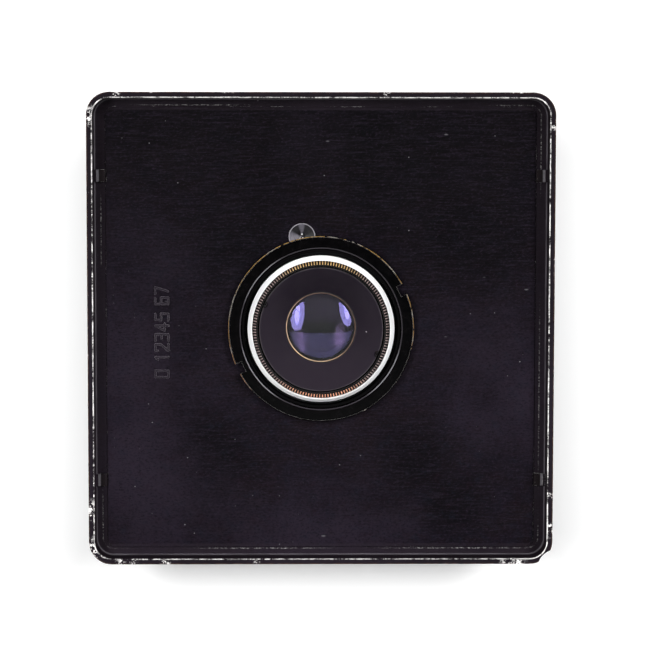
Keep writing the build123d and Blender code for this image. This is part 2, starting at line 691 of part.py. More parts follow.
def sub_parts():
    parts = {
        "lens_board": lens_board(),
        "index_stud": index_stud(),
        "retaining_ring": retaining_ring(),
        "main_barrel": main_barrel(),
        "bright_collar": bright_collar(),
        "rear_cell_mount": rear_cell_mount(),
        "rear_hood": rear_hood(),
        "rear_glass_ring": glass_ring(same, 110),
        "rear_outer_element": rear_element(OUTER_REAR, OUTER_FRONT),
        "rear_spacer": spacer(same),
        "rear_doublet_crown": rear_element(PAIR_REAR, PAIR_CEMENT),
        "rear_doublet_flint": rear_element(PAIR_CEMENT, PAIR_FRONT),
        "iris_base_plate": iris_base_plate(),
        "iris_actuator_ring": iris_actuator_ring(),
        "iris_lock_ring": iris_lock_ring(),
        "aperture_ring": aperture_ring(),
        "aperture_numbers": aperture_numbers(),
        "drive_screw": drive_screw(),
        "click_ball": click_ball(),
        "click_spring": click_spring(),
        "front_sleeve": front_sleeve(),
        "sleeve_screws": sleeve_screws(),
        "aperture_index": aperture_index(),
        "front_cell_mount": front_cell_mount(),
        "front_doublet_flint": front_element(PAIR_CEMENT, PAIR_FRONT),
        "front_doublet_crown": front_element(PAIR_REAR, PAIR_CEMENT),
        "front_spacer": spacer(mirrored),
        "front_outer_element": front_element(OUTER_REAR, OUTER_FRONT),
        "front_glass_ring": glass_ring(mirrored, 20),
        "front_bezel_ring": front_bezel_ring(),
    }
    for index in range(BLADE_COUNT):
        parts[f"iris_blade_{index + 1}"] = iris_blade(index)
    return parts


os.makedirs("parts", exist_ok=True)
for name, shape in sub_parts().items():
    export_step(Pos(0, 0, STAND) * shape, f"parts/{name}.step")
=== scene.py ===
"""Looks of an enlarger lens held in its square lens board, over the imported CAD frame.

Lengths are in metres, in the row frame, unless a comment says millimetres. Z is the optical
axis, and the rear of the lens looks up.
"""
import math

import bmesh
import bpy
from mathutils import Matrix, Vector

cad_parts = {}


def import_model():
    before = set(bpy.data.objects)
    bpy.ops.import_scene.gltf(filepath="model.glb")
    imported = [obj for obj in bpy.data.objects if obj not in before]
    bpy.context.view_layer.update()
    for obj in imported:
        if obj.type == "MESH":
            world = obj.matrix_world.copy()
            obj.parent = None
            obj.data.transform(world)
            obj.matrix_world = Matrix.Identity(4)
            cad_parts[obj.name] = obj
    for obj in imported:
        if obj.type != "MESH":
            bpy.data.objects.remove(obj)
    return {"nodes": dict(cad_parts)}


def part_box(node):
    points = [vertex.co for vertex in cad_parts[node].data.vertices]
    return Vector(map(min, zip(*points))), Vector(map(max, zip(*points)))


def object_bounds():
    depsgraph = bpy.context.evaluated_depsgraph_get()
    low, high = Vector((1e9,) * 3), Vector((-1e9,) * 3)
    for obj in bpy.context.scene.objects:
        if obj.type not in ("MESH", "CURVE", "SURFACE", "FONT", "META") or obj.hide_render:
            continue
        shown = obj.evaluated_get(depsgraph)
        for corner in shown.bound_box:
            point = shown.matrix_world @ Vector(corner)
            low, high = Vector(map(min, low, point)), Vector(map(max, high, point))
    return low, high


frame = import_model()
cad_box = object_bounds()
nodes = frame["nodes"]

MM = 0.001
BOARD_LOW, BOARD_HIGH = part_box("lens_board")
RING_LOW, RING_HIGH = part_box("retaining_ring")
BOARD_TOP = BOARD_HIGH.z        # ridge along the border
PANEL_TOP = RING_LOW.z          # panel that the ring lies on
HALF_X = (BOARD_HIGH.x - BOARD_LOW.x) / 2
HALF_Y = (BOARD_HIGH.y - BOARD_LOW.y) / 2
BOARD_CORNER = 7.1 * MM
LUG_Y, LUG_HALF = 47.6 * MM, 1.85 * MM
RING_OUTER = RING_HIGH.x
THREAD = 25.0 * MM
GLASS_EDGE = 10.7 * MM
COLLAR_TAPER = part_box("bright_collar")[1].z - 4.2 * MM
HOOD_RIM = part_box("rear_hood")[1].x - 0.12 * MM
FLUTE_COUNT = 150.0
FLUTE_HEIGHT = 1.2 * MM
FLUTE_FOOT, FLUTE_CROWN = 21.35 * MM, 20.4 * MM     # radius of the crests, low and high

# Discs (x, y, radius), in millimetres, that say where marks lie.
CAST_NUMBER = (-49.7, -1.2, 26)
DARK_PATCHES = ((22, 50, 30), (44, 28, 26), (30, -42, 18), (42, -56, 16), (-32, -38, 20),
                (-26, 26, 24))
# Discs of lighter paint on the board, mostly over its -Y half and left side.
PALE_PATCHES = ((-55, -45, 60), (-62, 5, 62), (0, -75, 60), (0, 66, 24), (60, -20, 52))
KNOCKS = ((71.6, -62.5, 3.2), (60, -72.5, 5), (-60.5, -72.5, 4), (-48.5, -73, 2), (-71.5, 66, 4),
          (71.6, 62.5, 1.2), (-63.4, 73, 2), (71.6, -52, 1.5), (-71.8, -56, 4), (-70, -68, 4.5),
          (20, 73.2, 1.5), (-20, -73.2, 1.5))
SCUFFS = ((42, -67, 30), (-18, -67, 26), (68, -20, 34), (68, 54, 16), (-40, 69, 22),
          (-66, -60, 12), (64, -66, 9), (62, 66, 12), (-68, 30, 14))
# A white spot on the ring's edge, at the corner of one of the notches.
NOTCH_WHITE_SPOT = (-27.2, -11.2, 1.1)
HOOD_SLOTS = ((-17.6, 7.8, 1.3), (17.6, -7.8, 1.3))
HOOD_GLINT = (14.2, -1.1, 0.28)
# Painted glints on the stud's boss: reflections of the lights.
BOSS_GLINT = 0.34                 # radius of a dot on the stud's boss
BOSS_GLINTS = ((0.0, 0.75), (0.25, -0.45), (-0.6, -0.6))      # from the middle of the stud

BARE_CASTING = (0.74, 0.72, 0.71)
STEEL = (0.62, 0.61, 0.60)
ALUMINIUM = (0.78, 0.78, 0.79)
COATING = (0.40, 0.36, 1.0)
INNER_COATING = (0.10, 0.06, 0.14)
CLEAR_GLASS = (0.85, 0.87, 0.88)
GLASS_IOR = 1.55

SENSOR_WIDTH, FOCAL_LENGTH = 36.0, 114.84           # millimetres
CAMERA_TARGET = Vector((1.215 * MM, 1.306 * MM, 40.5 * MM))
CAMERA_OFFSET = Vector((-8.979, 47.568, 643.431)) * MM
CAMERA_ROLL = 0.0011

SOFTBOXES = (("left", (-0.46, 0.19, 0.867)), ("right", (0.517, 0.287, 0.806)))
SOFTBOX_SIZE, SOFTBOX_RADIANCE = (0.30, 0.72), 12.0
LAMP_SIZE, LAMP_RADIANCE = (0.10, 0.46), 16.0       # a brighter core in front of each soft box
TABLE_SIZE, TABLE_RADIANCE, TABLE_HEIGHT = (1.2, 0.42), 1.9, 0.24
WORLD_RAMP = (0.05, 0.45, 0.9, 0.02)                # from this height to that, strength from, to
FLOOR_HALF, FLOOR_GLOW = 6.0, 0.75


class Look:
    """One procedural material, written with short calls."""

    def __init__(self, name):
        self.material = bpy.data.materials.new(name)
        self.material.use_nodes = True
        self.tree = self.material.node_tree
        self.tree.nodes.clear()
        self.shader = self.add("ShaderNodeBsdfPrincipled")
        output = self.add("ShaderNodeOutputMaterial")
        self.tree.links.new(self.shader.outputs[0], output.inputs["Surface"])
        self.place = self.add("ShaderNodeTexCoord").outputs["Object"]
        self.x, self.y, self.z = self.add("ShaderNodeSeparateXYZ", Vector=self.place).outputs
        self.geometry = self.add("ShaderNodeNewGeometry")

    def add(self, kind, settings=None, **inputs):
        node = self.tree.nodes.new(kind)
        for key, value in (settings or {}).items():
            setattr(node, key, value)
        for key, value in inputs.items():
            self.put(node.inputs[key.replace("_", " ")], value)
        return node

    def put(self, socket, value):
        if isinstance(value, bpy.types.NodeSocket):
            self.tree.links.new(value, socket)
        elif hasattr(socket.default_value, "__len__") and not hasattr(value, "__len__"):
            socket.default_value = [value] * len(socket.default_value)
        elif hasattr(value, "__len__") and len(value) == 3 and len(socket.default_value) == 4:
            socket.default_value = (*value, 1.0)
        else:
            socket.default_value = value

    def math(self, operation, a, b=0.0):
        node = self.add("ShaderNodeMath", {"operation": operation})
        self.put(node.inputs[0], a)
        self.put(node.inputs[1], b)
        return node.outputs[0]

    def vector_math(self, operation, a, b=(0, 0, 0)):
        node = self.add("ShaderNodeVectorMath", {"operation": operation})
        self.put(node.inputs[0], a)
        self.put(node.inputs[1], b)
        return node.outputs

    def times(self, first, *others):
        for other in others:
            first = self.math("MULTIPLY", first, other)
        return first

    def sum(self, a, b):
        return self.math("ADD", a, b)

    def absolute(self, a):
        return self.math("ABSOLUTE", a)

    def inverse(self, a):
        return self.math("SUBTRACT", 1.0, a)

    def length(self, a, b):
        return self.math("SQRT", self.sum(self.times(a, a), self.times(b, b)))

    def most(self, *values):
        first = values[0]
        for other in values[1:]:
            first = self.math("MAXIMUM", first, other)
        return first

    def step(self, value, low, high, start=0.0, end=1.0, kind="SMOOTHSTEP"):
        """Smooth step, or a straight line with kind LINEAR: start at low, end at high."""
        node = self.add("ShaderNodeMapRange", {"interpolation_type": kind})
        for index, item in enumerate((value, low, high, start, end)):
            self.put(node.inputs[index], item)
        return node.outputs[0]

    def band(self, value, centre, half, soft):
        """1 within half of centre, falling to 0 over soft."""
        away = self.absolute(self.math("SUBTRACT", value, centre))
        return self.step(away, half, half + soft, 1.0, 0.0)

    def mix(self, factor, a, b):
        node = self.add("ShaderNodeMix", {"data_type": "RGBA"})
        self.put(node.inputs[0], factor)
        self.put(node.inputs[6], a)
        self.put(node.inputs[7], b)
        return node.outputs[2]

    def layers(self, colour, *layers):
        """The colour with each (amount, tone) laid over it in turn."""
        for amount, tone in layers:
            colour = self.mix(amount, colour, tone)
        return colour

    def blend(self, factor, a, b):
        node = self.add("ShaderNodeMix", {"data_type": "FLOAT"})
        self.put(node.inputs[0], factor)
        self.put(node.inputs[2], a)
        self.put(node.inputs[3], b)
        return node.outputs[0]

    def vector(self, stretch=(1, 1, 1), shift=(0, 0, 0), source=None, turn=0.0):
        source = source or self.place
        if turn:
            source = self.add("ShaderNodeMapping", Vector=source, Rotation=(0, 0, turn)).outputs[0]
        return self.add("ShaderNodeMapping", Vector=source, Scale=stretch, Location=shift).outputs[0]

    def noise(self, size, detail=3.0, rough=0.55, stretch=(1, 1, 1), shift=(0, 0, 0), source=None):
        """Noise with features about size metres across."""
        node = self.add("ShaderNodeTexNoise", Vector=self.vector(stretch, shift, source),
                        Scale=1.0 / size, Detail=detail, Roughness=rough)
        return node.outputs["Fac"]

    def specks(self, size, width, share, shift=(0, 0, 0), stretch=(1, 1, 1), turn=0.0):
        """Scattered dots: one cell in every 1/share holds a dot of that width, in cell sizes."""
        cells = self.add("ShaderNodeTexVoronoi", Scale=1.0 / size,
                         Vector=self.vector(stretch, shift, turn=turn))
        pick = self.add("ShaderNodeSeparateXYZ", Vector=cells.outputs["Color"]).outputs[0]
        return self.times(self.step(cells.outputs["Distance"], width * 0.4, width, 1.0, 0.0),
                          self.math("LESS_THAN", pick, share))

    def radius(self):
        return self.length(self.x, self.y)

    def angle(self):
        return self.math("ARCTAN2", self.y, self.x)

    def toward(self, angle, degrees):
        """Cosine of the turn between an angle and that many degrees."""
        return self.math("COSINE", self.math("SUBTRACT", angle, math.radians(degrees)))

    def marks(self, size, stretch, radius, angle, mean_radius):
        """Fine marks that run round an axis, as turning leaves them."""
        around = self.add("ShaderNodeCombineXYZ", X=radius, Y=self.times(angle, mean_radius), Z=self.z)
        return self.noise(size, 3, 0.6, (1, stretch, 1), source=around.outputs[0])

    def turning_marks(self, size=0.25 * MM):
        return self.marks(size, 0.02, self.radius(), self.angle(), 20 * MM)

    def outline(self, half_x, half_y, corner):
        """Signed distance to a rounded rectangle round the axis, negative inside."""
        out_x = self.math("SUBTRACT", self.absolute(self.x), half_x - corner)
        out_y = self.math("SUBTRACT", self.absolute(self.y), half_y - corner)
        far = self.length(self.most(out_x, 0.0), self.most(out_y, 0.0))
        near = self.math("MINIMUM", self.most(out_x, out_y), 0.0)
        return self.math("SUBTRACT", self.sum(far, near), corner)

    def spots(self, *spots, low=0.3):
        """1 in the middle of any of the discs (x, y, radius), in millimetres, falling to 0 from
        low times the radius to the radius."""
        found = []
        for x, y, size in spots:
            far = self.length(self.math("SUBTRACT", self.x, x * MM),
                              self.math("SUBTRACT", self.y, y * MM))
            found.append(self.step(far, low * size * MM, size * MM, 1.0, 0.0))
        return self.most(*found)

    def up(self):
        """1 on faces that look along +Z."""
        normal = self.geometry.outputs["True Normal"]
        return self.step(self.add("ShaderNodeSeparateXYZ", Vector=normal).outputs[2], 0.6, 0.9)

    def rounded(self, size):
        """Normal of the surface with its edges rounded, and how much of an edge a point is."""
        soft = self.add("ShaderNodeBevel", {"samples": 6}, Radius=size).outputs[0]
        same = self.vector_math("DOT_PRODUCT", soft, self.geometry.outputs["Normal"])["Value"]
        return soft, self.step(same, 0.90, 0.995, 1.0, 0.0)

    def bump(self, height, depth, strength=1.0, normal=None):
        node = self.add("ShaderNodeBump", Strength=strength, Distance=depth, Height=height)
        if normal is not None:
            self.put(node.inputs["Normal"], normal)
        return node.outputs[0]

    def finish(self, **inputs):
        for key, value in inputs.items():
            self.put(self.shader.inputs[key.replace("_", " ")], value)
        return self.material


class BoardLook(Look):
    """Satin black enamel on a casting, finely brushed, with dust specks, rubbed bare along its edges.
    The paint is lighter in patches, mostly over the -Y half, and darkens toward +Y as painted shade."""

    def __init__(self):
        super().__init__("board_black")
        self.flat = self.up()
        self.inset = self.outline(HALF_X, HALF_Y, BOARD_CORNER)
        self.soft, self.edge = self.rounded(0.22 * MM)
        self.streaks = self.noise(0.55 * MM, 4, 0.75, (0.07, 1, 1))
        self.fine = self.noise(0.55 * MM, 3, 0.8, (0.55, 1, 1), (0.3, 0.1, 0))
        self.cloud = self.noise(24 * MM, 4, 0.62, shift=(0.41, 0.13, 0.2))
        self.chips = self.noise(1.1 * MM, 4, 0.7, shift=(0.5, 0.2, 0.9))
        self.smear = self.noise(11 * MM, 2, 0.5, shift=(0.1, 0.6, 0.3))
        self.border = self.step(self.z, BOARD_TOP - 0.6 * MM, BOARD_TOP - 0.35 * MM)
        self.rim = self.times(self.step(self.inset, -0.45 * MM, -0.1 * MM),
                              self.step(self.z, BOARD_TOP - 1.2 * MM, BOARD_TOP - 0.4 * MM))
        raised = self.step(self.z, PANEL_TOP + 0.06 * MM, PANEL_TOP + 0.16 * MM)
        self.figures = self.times(self.spots(CAST_NUMBER), raised)

    def dust(self, pale_patches):
        fibres = self.specks(5 * MM, 0.07, 0.2, (0.7, 0.1, 0), (0.4, 1, 1))
        grit = self.specks(1.6 * MM, 0.10, 0.10, (0.1, 0.5, 0))
        return self.most(self.specks(4.5 * MM, 0.055, 0.28),
                         self.specks(8 * MM, 0.036, 0.4, (0.3, 0.8, 0)),
                         self.times(fibres, 0.5),
                         self.times(grit, self.step(pale_patches, 0.35, 0.8), 0.35))

    def scratches(self):
        return self.most(self.specks(6 * MM, 0.025, 0.10, (0.2, 0.4, 0), (0.06, 1, 1), 0.5),
                         self.specks(5 * MM, 0.022, 0.10, (0.6, 0.2, 0), (0.08, 1, 1), -0.9),
                         self.specks(4 * MM, 0.025, 0.09, (0.1, 0.9, 0), (0.10, 1, 1), 1.45))

    def paint(self):
        """Enamel with its cloudy patches, brushing, dust and hairline scratches."""
        flat, fine = self.flat, self.fine
        tint = self.noise(8 * MM, 3, 0.7, (0.6, 1, 1), (0.2, 0.7, 0))
        mottle = self.noise(3.2 * MM, 4, 0.75, (0.7, 1, 1), (0.8, 0.4, 0))
        patches = self.spots(*DARK_PATCHES, low=0.0)
        pale_patches = self.spots(*PALE_PATCHES, low=0.0)
        dark = self.sum(self.times(self.cloud, 0.85), self.times(patches, 0.42))
        light = self.sum(self.times(pale_patches, 0.5), self.times(self.inverse(self.cloud), 0.5))
        # painted shade: the enamel darkens toward +Y
        painted_shade_toward_plus_y = self.step(self.y, -20 * MM, 66 * MM, 0.0, 0.78, "LINEAR")
        brushed = self.step(self.streaks, 0.46, 0.70)
        panel = self.times(flat, self.band(self.z, PANEL_TOP, 0.1 * MM, 0.1 * MM))
        return self.layers(
            self.mix(self.step(tint, 0.35, 0.65), (0.0048, 0.0032, 0.0066), (0.0056, 0.0031, 0.0048)),
            (self.times(self.step(light, 0.25, 0.85), 0.8), (0.0172, 0.0122, 0.0210)),
            (self.step(dark, 0.28, 0.90), (0.0018, 0.0010, 0.0023)),
            (self.times(self.step(mottle, 0.50, 0.75), 0.4), (0.0070, 0.0085, 0.0150)),
            (self.times(self.step(mottle, 0.48, 0.28), 0.4), (0.0080, 0.0030, 0.0060)),
            (painted_shade_toward_plus_y, (0.0008, 0.0004, 0.0009)),
            (self.times(brushed, 0.50, flat), (0.0150, 0.0110, 0.0185)),
            (self.times(self.step(fine, 0.52, 0.30), 0.65, flat), (0.0006, 0.0003, 0.0010)),
            (self.times(self.step(fine, 0.52, 0.72), 0.55, flat), (0.020, 0.0140, 0.0235)),
            (self.times(self.dust(pale_patches), 0.75, flat), (0.20, 0.19, 0.21)),
            (self.times(self.scratches(), 0.55, panel), (0.10, 0.095, 0.10)))

    def relief(self, colour):
        """Walls and channel painted lighter, as painted light against the shade of the recess, and a
        lighter grey line along the walls' foot; lighter lugs, border and number; a brown cast on the
        rim."""
        inset, cloud, chips = self.inset, self.cloud, self.chips
        walls = self.times(self.inverse(self.flat),
                           self.step(self.z, PANEL_TOP - 0.6 * MM, PANEL_TOP - 0.3 * MM))
        channel = self.times(self.band(self.z, PANEL_TOP - 0.3 * MM, 0.28 * MM, 0.05 * MM),
                             self.step(inset, -5.5 * MM, -5.2 * MM))
        low_wall = self.step(self.z, PANEL_TOP + 0.5 * MM, PANEL_TOP + 1.5 * MM, 1.0, 0.0)
        foot = self.most(self.times(walls, low_wall),
                         self.times(channel, self.step(inset, -2.15 * MM, -1.95 * MM)))
        foot = self.times(foot, self.step(inset, -2.5 * MM, -2.1 * MM),
                          self.inverse(self.step(inset, -1.2 * MM, -0.9 * MM)))
        lugs = self.times(self.band(self.absolute(self.y), LUG_Y, LUG_HALF, 0.1 * MM),
                          self.step(inset, -5.8 * MM, -5.6 * MM),
                          self.band(self.z, PANEL_TOP + 0.8 * MM, 0.6 * MM, 0.05 * MM))
        lug_tone = self.mix(self.step(inset, -3.4 * MM, -3.1 * MM), (0.012, 0.009, 0.010),
                            (0.16, 0.15, 0.165))
        figure_tone = self.mix(self.edge, (0.022, 0.018, 0.024), (0.16, 0.14, 0.165))
        return self.layers(
            colour,
            # painted light: walls and channel made lighter than the enamel of the panel
            (self.times(walls, 0.7), (0.0150, 0.0105, 0.0140)),
            (self.times(channel, self.step(cloud, 0.3, 0.7, 0.3, 0.6)), (0.024, 0.018, 0.024)),
            (self.times(foot, self.step(self.smear, 0.3, 0.6, 0.45, 0.9)), (0.12, 0.11, 0.125)),
            (self.times(lugs, self.step(chips, 0.3, 0.6, 0.6, 0.95)), lug_tone),
            (self.times(self.border, 0.5), (0.014, 0.010, 0.014)),
            (self.times(self.figures, 0.9), figure_tone),
            (self.times(self.rim, self.step(chips, 0.35, 0.6)), (0.075, 0.040, 0.030)))

    def bare(self):
        """Where the enamel is gone: along the ridge, at knocks, on edges and in the channel."""
        chips, smear = self.chips, self.smear
        dashes = self.most(self.noise(2.4 * MM, 4, 0.85, (1, 0.3, 1), (0.2, 0.5, 0.4)),
                           self.noise(2.4 * MM, 4, 0.85, (0.3, 1, 1)))
        side_ridges = self.step(self.absolute(self.x), 62 * MM, 70 * MM)
        ridge = self.times(self.step(self.z, BOARD_TOP - 0.18 * MM, BOARD_TOP - 0.05 * MM),
                           self.step(dashes, 0.46, 0.60), self.blend(side_ridges, 0.75, 1.0))
        knocks = self.times(self.spots(*KNOCKS), self.border, self.step(chips, 0.52, 0.57))
        rubbed = self.sum(self.times(chips, 0.6), self.times(smear, 0.5))
        rubbed = self.times(self.rim, self.step(rubbed, 0.68, 0.74))
        edges = self.sum(self.times(chips, 0.55), self.times(smear, 0.5))
        edges = self.times(self.edge, self.step(edges, 0.55, 0.68), 0.7, self.inverse(self.figures))
        above = self.step(self.z, PANEL_TOP + 0.2 * MM, PANEL_TOP + 0.3 * MM)
        scuffs = self.times(self.spots(*SCUFFS, low=0.2), self.inverse(above),
                            self.band(self.inset, -3.75 * MM, 0.08 * MM, 0.16 * MM),
                            self.step(self.most(chips, self.fine), 0.50, 0.70), 0.42)
        return self.most(ridge, knocks, rubbed, edges, scuffs)

    def make(self):
        bare = self.bare()
        colour = self.mix(bare, self.relief(self.paint()), BARE_CASTING)
        rough = self.sum(self.blend(self.step(self.cloud, 0.3, 0.7), 0.56, 0.66),
                         self.times(self.math("SUBTRACT", self.fine, 0.5), 0.12))
        height = self.sum(self.times(self.streaks, 0.6), self.times(self.fine, 0.4))
        return self.finish(Base_Color=colour, Metallic=self.times(bare, 0.5), Roughness=rough,
                           Specular_IOR_Level=0.032,
                           Normal=self.bump(height, 0.010 * MM, 0.5, self.soft))


def cell_look():
    """Blackened brass cell. Its bevelled flutes are rubbed to bare brass on their crests. That brass
    is painted bright toward +Y and -Y and dim greyish toward ±X, as painted light and shade."""
    k = Look("cell_black")
    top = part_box("rear_cell_mount")[1].z
    soft, edge = k.rounded(0.06 * MM)
    radius = k.radius()
    envelope = k.step(k.z, top - FLUTE_HEIGHT, top, FLUTE_FOOT, FLUTE_CROWN, "LINEAR")
    pitch = k.math("COSINE", k.times(k.angle(), FLUTE_COUNT))
    crest = k.times(k.step(k.math("DIVIDE", radius, envelope), 0.9865, 0.9925),
                    k.step(pitch, 0.10, 0.65), k.step(k.z, top - 1.25 * MM, top - 1.1 * MM))
    rub = k.noise(1.4 * MM, 3, 0.6, shift=(0.4, 0.1, 0))
    # painted light and shade: crest brass bright toward ±Y, dim greyish toward ±X
    painted_light_ends = k.step(k.absolute(k.math("SINE", k.angle())), 0.70, 1.0)
    metal = k.mix(k.step(k.y, -12 * MM, 12 * MM), (0.85, 0.42, 0.27), (0.85, 0.57, 0.26))
    metal = k.mix(painted_light_ends, (0.34, 0.26, 0.25), metal)
    amount = k.times(crest, k.step(rub, 0.28, 0.5, 0.55, 1.0))
    rim = k.times(edge, k.band(radius, 19.6 * MM, 0.35 * MM, 0.1 * MM), 0.35)
    tone = k.mix(k.step(rub, 0.3, 0.7), (0.0006, 0.0005, 0.0006), (0.0020, 0.0015, 0.0020))
    tone = k.layers(tone, (amount, metal), (rim, (0.35, 0.33, 0.33)))
    return k.finish(Base_Color=tone, Metallic=k.times(amount, 0.25), Roughness=0.5,
                    Specular_IOR_Level=0.08, Normal=k.bump(rub, 0.006 * MM, 0.4, soft))


def ring_look():
    """Gloss black enamel over brass, rubbed through along the outer edge. A grey line along the bore
    is a painted highlight, lighter in three places; the notches' edges carry a light grey painted
    highlight, and a white spot sits on the corner of one of the notches."""
    k = Look("ring_enamel")
    soft, edge = k.rounded(0.12 * MM)
    radius, angle, top = k.radius(), k.angle(), RING_HIGH.z
    chips = k.noise(1.5 * MM, 4, 0.75, shift=(0.5, 0.2, 0.9))
    smear = k.noise(7 * MM, 2, 0.5, shift=(0.3, 0.9, 0.3))
    mottle = k.noise(2.2 * MM, 4, 0.7)
    worn_sides = k.most(k.step(k.toward(angle, 150), -0.2, 0.75),
                        k.step(k.toward(angle, 28), 0.55, 0.95))
    share = k.sum(k.sum(k.times(worn_sides, 0.26), k.times(smear, 0.35)), chips)
    outer = k.times(k.step(radius, RING_OUTER - 0.19 * MM, RING_OUTER - 0.09 * MM),
                    k.step(k.z, top - 0.5 * MM, top - 0.3 * MM), k.step(share, 0.80, 0.94))
    metal = k.mix(k.step(k.y, -20 * MM, 15 * MM), (0.60, 0.34, 0.20), (0.95, 0.58, 0.18))
    metal = k.mix(k.step(smear, 0.50, 0.60), metal, (0.90, 0.84, 0.76))
    # painted highlight: a grey line along the bore's chamfer, lighter in three places
    inner = k.times(k.band(radius, THREAD + 0.22 * MM, 0.12 * MM, 0.06 * MM),
                    k.step(k.z, top - 0.6 * MM, top - 0.4 * MM))
    highlight_arcs = k.most(*[k.step(k.toward(angle, degrees), low, 0.99)
                    for degrees, low in ((215, 0.90), (325, 0.92), (140, 0.92))])
    # painted highlight: light grey along the notches' edges
    notch_highlight = k.times(edge, k.band(radius, RING_OUTER - 1.3 * MM, 1.0 * MM, 0.2 * MM),
                    k.step(chips, 0.3, 0.5))
    tone = k.layers(
        k.mix(k.step(mottle, 0.35, 0.7), (0.0003, 0.0002, 0.0004), (0.0010, 0.0007, 0.0010)),
        (k.times(inner, 0.9), k.mix(highlight_arcs, (0.040, 0.035, 0.042), (0.22, 0.21, 0.23))),
        (k.times(notch_highlight, 0.8), (0.42, 0.40, 0.40)),
        (k.times(k.spots(NOTCH_WHITE_SPOT), edge), (0.95, 0.95, 0.95)),
        (outer, metal))
    return k.finish(Base_Color=tone, Metallic=k.times(outer, 0.7),
                    Roughness=k.blend(mottle, 0.20, 0.32), Specular_IOR_Level=0.06,
                    Normal=k.bump(mottle, 0.004 * MM, 0.4, soft))


def glass_ring_look():
    """Blackened ring round the glass, its edge rubbed to coppery brass, most of it on one side."""
    k = Look("glass_ring_black")
    rub = k.noise(2.6 * MM, 3, 0.6, shift=(0.4, 0.1, 0))
    line = k.band(k.radius(), GLASS_EDGE + 0.10 * MM, 0.07 * MM, 0.06 * MM)
    worn_side = k.step(k.toward(k.angle(), 215), -0.6, 0.9)
    amount = k.times(line, k.sum(k.times(worn_side, 0.6), k.step(rub, 0.3, 0.6, 0.15, 0.4)))
    tone = k.mix(k.step(rub, 0.3, 0.7), (0.010, 0.008, 0.009), (0.016, 0.013, 0.014))
    tone = k.mix(amount, tone, k.mix(worn_side, (0.55, 0.33, 0.22), (0.90, 0.62, 0.40)))
    return k.finish(Base_Color=tone, Metallic=k.times(amount, 0.3), Roughness=0.4,
                    Specular_IOR_Level=0.3, Normal=k.bump(rub, 0.004 * MM, 0.4))


def stud_look():
    """Blackened, turned stud with a bright rim. A painted sheen lightens two wedges of its face, and
    three painted glints sit on its boss."""
    k = Look("stud_black")
    low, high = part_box("index_stud")
    middle = (low + high) / 2
    reach = (high.x - low.x) / 2
    dx, dy = k.math("SUBTRACT", k.x, middle.x), k.math("SUBTRACT", k.y, middle.y)
    radius, angle = k.length(dx, dy), k.math("ARCTAN2", dy, dx)
    marks = k.marks(0.16 * MM, 0.05, radius, angle, 4 * MM)
    rim = k.times(k.step(radius, reach - 0.32 * MM, reach - 0.22 * MM),
                  k.blend(k.step(marks, 0.3, 0.6), 0.5, 0.9))
    # painted sheen: two lighter wedges of the face
    painted_sheen = k.most(k.times(k.step(k.toward(angle, 190), 0.70, 0.98), 0.9),
                     k.times(k.step(k.toward(angle, 92), 0.93, 1.0), 0.6))
    # painted highlights: three glints on the boss
    painted_glints = k.spots(*[(middle.x / MM + x, middle.y / MM + y, BOSS_GLINT) for x, y in BOSS_GLINTS])
    tone = k.layers(
        k.mix(k.step(marks, 0.3, 0.7), (0.003, 0.003, 0.004), (0.010, 0.009, 0.011)),
        (k.times(painted_sheen, k.step(marks, 0.2, 0.7, 0.5, 1.0)), (0.16, 0.15, 0.18)),
        (rim, (0.34, 0.32, 0.36)),
        (painted_glints, (0.75, 0.74, 0.76)))
    return k.finish(Base_Color=tone, Metallic=k.times(rim, 0.2), Roughness=0.3,
                    Specular_IOR_Level=0.12, Normal=k.bump(marks, 0.004 * MM, 0.5))


def barrel_look(name, level):
    """Satin black anodised barrel. The thread end inside the retaining ring is painted dead black,
    partly as a blackened thread and partly as painted shade in the deep gap.
    """
    k = Look(name)
    marks = k.turning_marks()
    cloud = k.noise(6 * MM, 3, 0.6)
    soft, edge = k.rounded(0.12 * MM)
    # dead black thread end: partly a blackened thread, partly painted shade in the gap
    thread_end = k.step(k.z, BOARD_LOW.z + 0.5 * MM, BOARD_LOW.z + 1.0 * MM)
    bare = k.times(edge, k.inverse(thread_end), k.step(k.noise(1.3 * MM, 3, 0.7), 0.58, 0.66))
    tone = k.layers(
        k.mix(k.step(cloud, 0.35, 0.7), (0.014, 0.014, 0.015), (0.020, 0.020, 0.021)),
        (thread_end, (0.0008, 0.0007, 0.0009)),
        (bare, ALUMINIUM))
    rough = k.sum(k.sum(0.33, k.times(marks, 0.1)), k.times(thread_end, 0.4))
    return k.finish(Base_Color=tone, Metallic=bare, Roughness=rough, Specular_IOR_Level=level,
                    Normal=k.bump(marks, 0.004 * MM, 0.5, soft))


def turned_look(name, colour, lighter, roughness, bare=None):
    """Turned metal or paint with faint turning marks; bare metal shows along its worn edges."""
    k = Look(name)
    marks = k.turning_marks()
    cloud = k.noise(6 * MM, 3, 0.6)
    soft, edge = k.rounded(0.12 * MM)
    tone = k.mix(k.step(cloud, 0.35, 0.7), colour, lighter)
    metal = 0.0
    if bare:
        metal = k.times(edge, k.step(k.noise(1.3 * MM, 3, 0.7, shift=(0.2, 0.4, 0)), 0.42, 0.50))
        tone = k.mix(metal, tone, bare)
    return k.finish(Base_Color=tone, Metallic=metal,
                    Roughness=k.sum(roughness - 0.05, k.times(marks, 0.10)),
                    Normal=k.bump(marks, 0.004 * MM, 0.5, soft))


